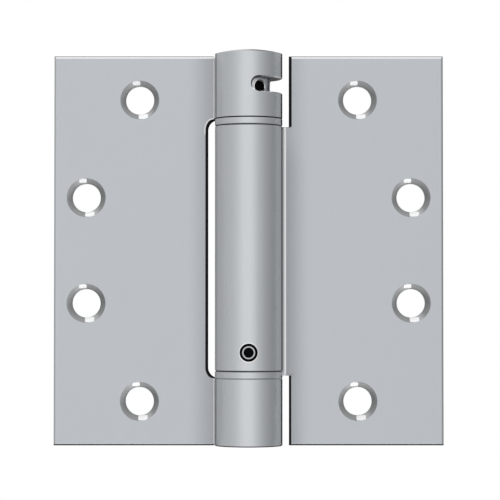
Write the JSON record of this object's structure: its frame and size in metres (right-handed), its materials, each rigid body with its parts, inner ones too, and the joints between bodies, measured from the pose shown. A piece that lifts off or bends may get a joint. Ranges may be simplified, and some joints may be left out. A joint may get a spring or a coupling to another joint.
{
  "type": "spring hinge",
  "caption": "Square full-mortise door hinge in satin steel with rolled knuckles, a torsion spring in its barrel and a slotted top knuckle with a tension collar.",
  "frame": {"origin": "on the pin axis, at the middle of the leaves' height", "axes": "+Z along the pin axis towards the tension slot, +Y out of the backs of the leaves, +X towards the door leaf, which lies flat open"},
  "size_m": [0.1142, 0.0198, 0.1156],
  "materials": {
    "leaf_steel": "satin plated",
    "bearing_steel": "satin plated",
    "turned_steel": "turned",
    "spring_steel": "oil tempered"
  },
  "bodies": {
    "frame": {"frame_leaf": "leaf_steel", "upper_bearing": "bearing_steel", "lower_bearing": "bearing_steel", "bottom_plug": "turned_steel"},
    "door": {"door_leaf": "leaf_steel", "spring_anchor": "turned_steel", "anchor_pin": "turned_steel", "torsion_spring": "spring_steel"},
    "collar": {"tension_collar": "turned_steel"}
  },
  "joints": [
    {"name": "leaf_swing", "type": "hinge", "parent": "frame", "child": "door", "pos_m": [0, 0, 0], "axis": [0, 0, -1], "range_deg": [0, 180], "stiffness_Nm_per_rad": 0.59, "springref_deg": 180, "deforming": ["torsion_spring"]},
    {"name": "tension_turn", "type": "hinge", "parent": "frame", "child": "collar", "pos_m": [0, 0, 0.048], "axis": [0, 0, -1], "range_deg": [0, 180], "deforming": ["torsion_spring"]}
  ]
}
